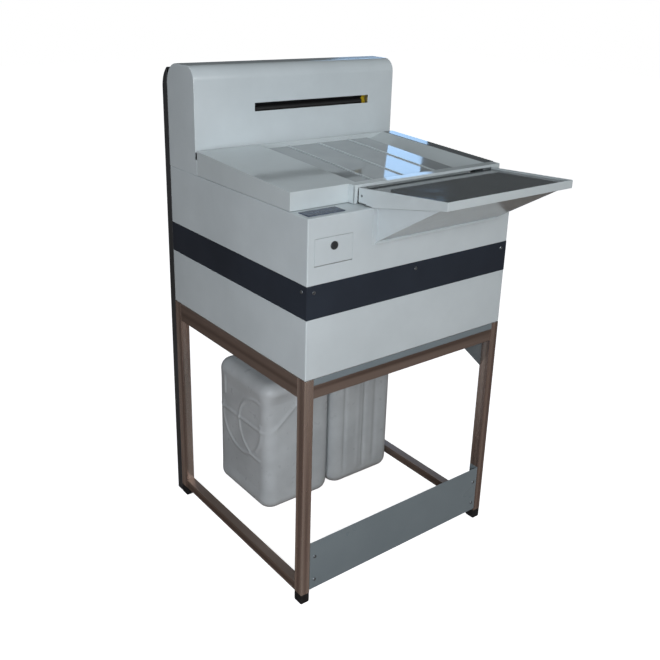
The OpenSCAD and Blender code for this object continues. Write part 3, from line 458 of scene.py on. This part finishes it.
# Key panel
# A printed polyester film over the keys, dark blue with paler key fields and a
# slight sheen.
keys_per_metre = 62.0
gap_share = 0.28
key_row_y, key_reach = -0.1755, 0.008
film, tree, shader = new_finish("printed_key_film", "#33425c", Roughness=0.28)
place = add(tree, "SeparateXYZ", {"Vector": add(tree, "TexCoord").outputs["Object"]})
keys = add(tree, "Math", {0: place.outputs["X"], 1: keys_per_metre}, operation="MULTIPLY")
along_key = add(tree, "Math", {0: keys.outputs[0]}, operation="FRACT")
past_gap = add(tree, "Math", {0: along_key.outputs[0], 1: gap_share}, operation="GREATER_THAN")
in_row = add(tree, "Math", {
    0: place.outputs["Y"], 1: key_row_y, 2: key_reach,
}, operation="COMPARE")
key_field = add(tree, "Math", {
    0: past_gap.outputs[0], 1: in_row.outputs[0],
}, operation="MULTIPLY")
print_tone = ramp(tree, key_field.outputs[0], [(0.0, "#2c3b56"), (1.0, "#384967")])
tree.links.new(print_tone, shader.inputs["Base Color"])
tree.links.new(spread(tree, place_noise(tree, 16.7, 3), 0.2, 0.36), shader.inputs["Roughness"])
dress(["key_panel"], film)

# Screws, pins and hinges
# Plated steel, bright and a little dulled by handling.
plated, tree, shader = new_finish("plated_steel", "#757a7d", Metallic=0.7)
tree.links.new(spread(tree, place_noise(tree, 5.6, 3), 0.22, 0.42), shader.inputs["Roughness"])
dress(["panel_screws", "flap_pin", "lid_hinges", "tray_hinges"], plated)
lock_steel, tree, shader = new_finish("dulled_lock_steel", "#5c6063", Metallic=0.8)
tree.links.new(spread(tree, place_noise(tree, 4.5, 3), 0.3, 0.5), shader.inputs["Roughness"])
dress(["lock_plug"], lock_steel)


# Tanks and rollers
# Moulded and turned plastics: the tanks a warm grey with a faint flow pattern,
# the sleeves and gears paler, each with a fine moulded or turned grain.
def moulding(name, dark, light, roughness, size, stretch=(1, 1, 1)):
    """Moulded plastic: a grain of size mm, and a tone between two shades 12 times as wide."""
    material, tree, shader = new_finish(name, light, IOR=1.48)
    tone = ramp(tree, place_noise(tree, size * 12, 3), [(0.3, dark), (0.7, light)])
    tree.links.new(tone, shader.inputs["Base Color"])
    grain = place_noise(tree, size, 2, stretch)
    tree.links.new(spread(tree, grain, roughness * 0.85, roughness * 1.15),
                   shader.inputs["Roughness"])
    fine = add(tree, "Bump", {"Height": grain, "Strength": 0.12, "Distance": 0.0003})
    tree.links.new(fine.outputs["Normal"], shader.inputs["Normal"])
    return material


tank_moulding = moulding("moulded_tank_plastic", "#c5c1b3", "#d2cec1", 0.45, 2.5)
sleeve = moulding("turned_roller_sleeve", "#d2d0c8", "#dfddd5", 0.5, 1.4, (0.05, 1, 1))
acetal = moulding("moulded_acetal", "#cfcbbb", "#dad6c7", 0.4, 1.7)
yellow = moulding("yellow_moulding", "#cdb01f", "#dec22d", 0.42, 1.7)
black = moulding("black_moulding", "#171718", "#1f1f20", 0.5, 1.7)
unit_green = moulding("green_moulding", "#456f52", "#50805f", 0.5, 2.0)
dress(["developer_tank", "fixer_tank", "wash_tank"], tank_moulding)
dress(["feed_roller_lower", "feed_roller_upper", "developer_front_roller",
       "developer_rear_roller", "fixer_front_roller", "fixer_rear_roller",
       "wash_front_roller", "wash_rear_roller", "developer_turn_roller",
       "fixer_turn_roller", "wash_turn_roller"], sleeve)
dress(["developer_idler", "fixer_idler", "wash_idler", "dryer_shaft", "drive_pinion"], acetal)
exit_gear_left = 0.2205
dress(["exit_roller_lower", "exit_roller_upper"], black, yellow, split=exit_gear_left)
dress(["rear_fittings", "circulation_pumps", "dryer_belt"], black)
dress(["control_unit"], unit_green)


# Racks, motor and blower
# Stainless sheet brushed along its length, and cast aluminium with the fine
# pitted skin of the mould.
def bare_metal(name, colour, low, high, size, stretch, depth):
    """Bare metal: roughness from low to high on a grain of size mm, raised by a depth up to 1."""
    material, tree, shader = new_finish(name, colour, Metallic=0.9)
    grain = place_noise(tree, size, 3, stretch)
    tree.links.new(spread(tree, grain, low, high), shader.inputs["Roughness"])
    fine = add(tree, "Bump", {"Height": grain, "Strength": depth, "Distance": 0.0003})
    tree.links.new(fine.outputs["Normal"], shader.inputs["Normal"])
    return material


rack_sheet = bare_metal("brushed_rack_sheet", "#b9bcbd", 0.25, 0.42, 1.7, (1, 1, 0.03), 0.06)
cast = bare_metal("cast_aluminium", "#8f9294", 0.4, 0.6, 2.0, (1, 1, 1), 0.25)
dress(["developer_rack", "fixer_rack", "wash_rack", "dryer_rack", "motor_bracket"], rack_sheet)
dress(["motor", "blower_wheel", "blower_housing"], cast)


# Chemical cans
# Blow-moulded polyethylene, milky and thin, free on the floor between the
# legs. Round corners, shallow flutes, a crease and arcs on the left stiffen it.
can_low, can_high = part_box("developer_can")
fixer_low, fixer_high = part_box("fixer_can")
cap_low, cap_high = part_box("developer_can_cap")
can_width, can_depth = can_high.x - can_low.x, can_high.y - can_low.y
can_middle_y = (can_low.y + can_high.y) / 2
can_height = 0.395
can_corner, can_edge = 0.040, 0.030
neck_radius, neck_wall = 0.024, 0.004
neck_y = (cap_low.y + cap_high.y) / 2
neck_foot, neck_top = 0.38, can_high.z


def can_outline(straight=72, corner=12):
    """Rounded rectangle: (+-(a - r), +-(b - r)) + r (cos t, sin t), with its outward normals."""
    a, b, r = can_width / 2, can_depth / 2, can_corner
    points, normals = [], []
    for quarter in range(4):
        turn = np.linspace(0, math.pi / 2, corner) + quarter * math.pi / 2
        normal = np.stack([np.cos(turn), np.sin(turn)], 1)
        middle = np.array([(1, 1), (-1, 1), (-1, -1), (1, -1)][quarter]) * (a - r, b - r)
        arc = middle + r * normal
        after = np.array([(-1, 1), (-1, -1), (1, -1), (1, 1)][quarter]) * (a - r, b - r)
        end = after + r * normal[-1]
        way = np.linspace(0, 1, straight + 1)[1:-1, None]
        points += [arc, arc[-1] * (1 - way) + end * way]
        normals += [normal, np.repeat(normal[-1:], straight - 1, 0)]
    return np.concatenate(points), np.concatenate(normals)


def bump(distance, width):
    """A smooth ridge one high: exp(-(d/w)^2)."""
    return np.exp(-(distance / width) ** 2)


crease_x, crease_z, crease_rise = -0.195, 0.222, math.radians(39.5)
crease_high, crease_wide, crease_sink = 0.0022, 0.0055, 0.0016
fold_lean, fold_reach, fold_soft = 0.13, 0.07, 0.006
ridge_high, ridge_wide = 0.0028, 0.005
ring_z, level_ridge_z = 0.245, 0.250
front_ring_y, front_ring, front_ring_from = 0.205, 0.092, 0.19
rear_ring_y, rear_ring, rear_ring_under = 0.285, 0.100, 0.27
short_ridge_y, short_ridge_z, short_ridge_reach = 0.373, 0.325, 0.03


def developer_relief(x, y, z):
    """Front and left relief of the developer can.

    The front has a ridge along the crease, and beyond it leans back by 0.13 of the distance. The
    lean starts softly, as s ln(1 + exp(d/s)). The left has two part rings and two straight ridges.
    """
    beyond = (z - crease_z) * math.cos(crease_rise) - (x - crease_x) * math.sin(crease_rise)
    fold = fold_soft * np.log1p(np.exp(np.clip(beyond / fold_soft, -30, 30)))
    crease = crease_high * bump(beyond, crease_wide)
    on_front = crease - fold_lean * np.minimum(fold, fold_reach) - crease_sink
    from_front_ring = np.hypot(y - front_ring_y, z - ring_z) - front_ring
    from_rear_ring = np.hypot(y - rear_ring_y, z - ring_z) - rear_ring
    ridges = (
        bump(from_front_ring, ridge_wide) * (y > front_ring_from)
        + bump(from_rear_ring, ridge_wide) * (z < rear_ring_under)
        + bump(z - level_ridge_z, ridge_wide)
        + bump(y - short_ridge_y, ridge_wide) * (abs(z - short_ridge_z) < short_ridge_reach)
    )
    return on_front, ridge_high * (ridges - 1)


flutes = ((0.100, -0.004, 0.007), (0.150, 0.0015, 0.007), (0.173, -0.004, 0.006),
          (0.215, -0.003, 0.009))
left_groove_wide = 0.03


def fixer_relief(x, y, z):
    """Front and left relief of the fixer can: flutes, each as x, rise and width, and one groove."""
    on_front = sum(rise * bump(x - flute_x, wide) for flute_x, rise, wide in flutes)
    groove = bump(y - can_middle_y, left_groove_wide)
    return on_front, -ridge_high * (2 * groove + 1)


relief_low, relief_high, relief_ease = 0.03, 0.365, 0.03
rear_groove_out, rear_groove_deep, rear_groove_wide = 0.05, 0.002, 0.006


def can_relief(x, y, z, normal, front_and_left):
    """Relief of all walls in metres, fading out before the round edges.

    A wall's relief counts by the part of the outline's normal that points its way, to a power. At
    the back it is two upright grooves.
    """
    rise, drop = (z - relief_low) / relief_ease, (relief_high - z) / relief_ease
    wall = np.clip(rise, 0, 1) * np.clip(drop, 0, 1)
    front = np.clip(-normal[:, 1], 0, 1)[None] ** 4
    left = np.clip(-normal[:, 0], 0, 1)[None] ** 8
    back = np.clip(normal[:, 1], 0, 1)[None] ** 8
    on_front, on_left = front_and_left(x, y, z)
    from_groove = np.abs(x - x.mean()) - rear_groove_out
    on_back = -rear_groove_deep * bump(from_groove, rear_groove_wide)
    return wall * (front * on_front + left * on_left + back * on_back)


def can_mesh(name, middle_x, front_and_left, material):
    """Rings of the outline, inset by e (1 - cos s) and raised by e sin s round the edges."""
    outline, normal = can_outline()
    swing = np.linspace(0, math.pi / 2, 9)
    low_in, low_z = can_edge * (1 - np.sin(swing)), can_edge * (1 - np.cos(swing))
    rise = np.linspace(can_edge, can_height - can_edge, 140)[1:-1]
    inset = np.concatenate([low_in, np.zeros(len(rise)), low_in[::-1]])
    height = np.concatenate([low_z, rise, can_height - low_z[::-1]])
    x = middle_x + outline[None, :, 0] - inset[:, None] * normal[None, :, 0]
    y = can_middle_y + outline[None, :, 1] - inset[:, None] * normal[None, :, 1]
    z = np.repeat(height[:, None], len(outline), 1)
    relief = can_relief(x, y, z, normal, front_and_left)
    x = x + relief * normal[None, :, 0]
    y = y + relief * normal[None, :, 1]
    aim = np.arctan2(outline[:, 1] - (neck_y - can_middle_y), outline[:, 0])
    bore = neck_radius - neck_wall
    for radius, level in ((neck_radius, can_height), (neck_radius, neck_top),
                          (bore, neck_top), (bore, neck_foot)):
        x = np.vstack([x, middle_x + radius * np.cos(aim)])
        y = np.vstack([y, neck_y + radius * np.sin(aim)])
        z = np.vstack([z, np.full(len(outline), level)])
    rows, count = x.shape
    mesh = bpy.data.meshes.new(name)
    places = np.stack([x, y, z], 2).reshape(-1, 3)
    k = np.arange(count)
    j = np.arange(rows - 1)[:, None] * count
    quads = np.stack([j + k, j + (k + 1) % count, j + count + (k + 1) % count, j + count + k], 2)
    faces = [*map(tuple, quads.reshape(-1, 4).tolist()), tuple(k[::-1].tolist()),
             tuple(((rows - 1) * count + k).tolist())]
    mesh.from_pydata(places.tolist(), [], faces)
    mesh.polygons.foreach_set("use_smooth", [True] * (len(faces) - 2) + [False, False])
    mesh.set_sharp_from_angle(angle=math.radians(50))
    mesh.materials.append(material)
    piece = bpy.data.objects.new(name, mesh)
    scene.collection.objects.link(piece)
    return piece


milky, tree, shader = new_finish("milky_polyethylene", "#d3d9dc", IOR=1.5)
cloud = ramp(tree, place_noise(tree, 83.3, 3), [(0.3, "#bcc1c3"), (0.7, "#ccd1d3")])
tree.links.new(cloud, shader.inputs["Base Color"])
tree.links.new(spread(tree, place_noise(tree, 25, 3), 0.26, 0.42), shader.inputs["Roughness"])
skin = add(tree, "Bump", {
    "Height": place_noise(tree, 33.3, 0), "Strength": 0.1, "Distance": 0.002,
})
tree.links.new(skin.outputs["Normal"], shader.inputs["Normal"])
developer_skin = can_mesh("developer_can_skin", (can_low.x + can_high.x) / 2, developer_relief, milky)
fixer_skin = can_mesh("fixer_can_skin", (fixer_low.x + fixer_high.x) / 2, fixer_relief, milky)
stand_in(developer_skin, "developer_can", "developer_can")
stand_in(fixer_skin, "fixer_can", "fixer_can")

# Caps
# Ribbed screw caps moulded in red for the developer and blue for the fixer.
red = moulding("red_cap_moulding", "#84291f", "#913027", 0.45, 2.0)
blue = moulding("blue_cap_moulding", "#2a4678", "#335390", 0.45, 2.0)
dress(["developer_can_cap"], red)
dress(["fixer_can_cap"], blue)
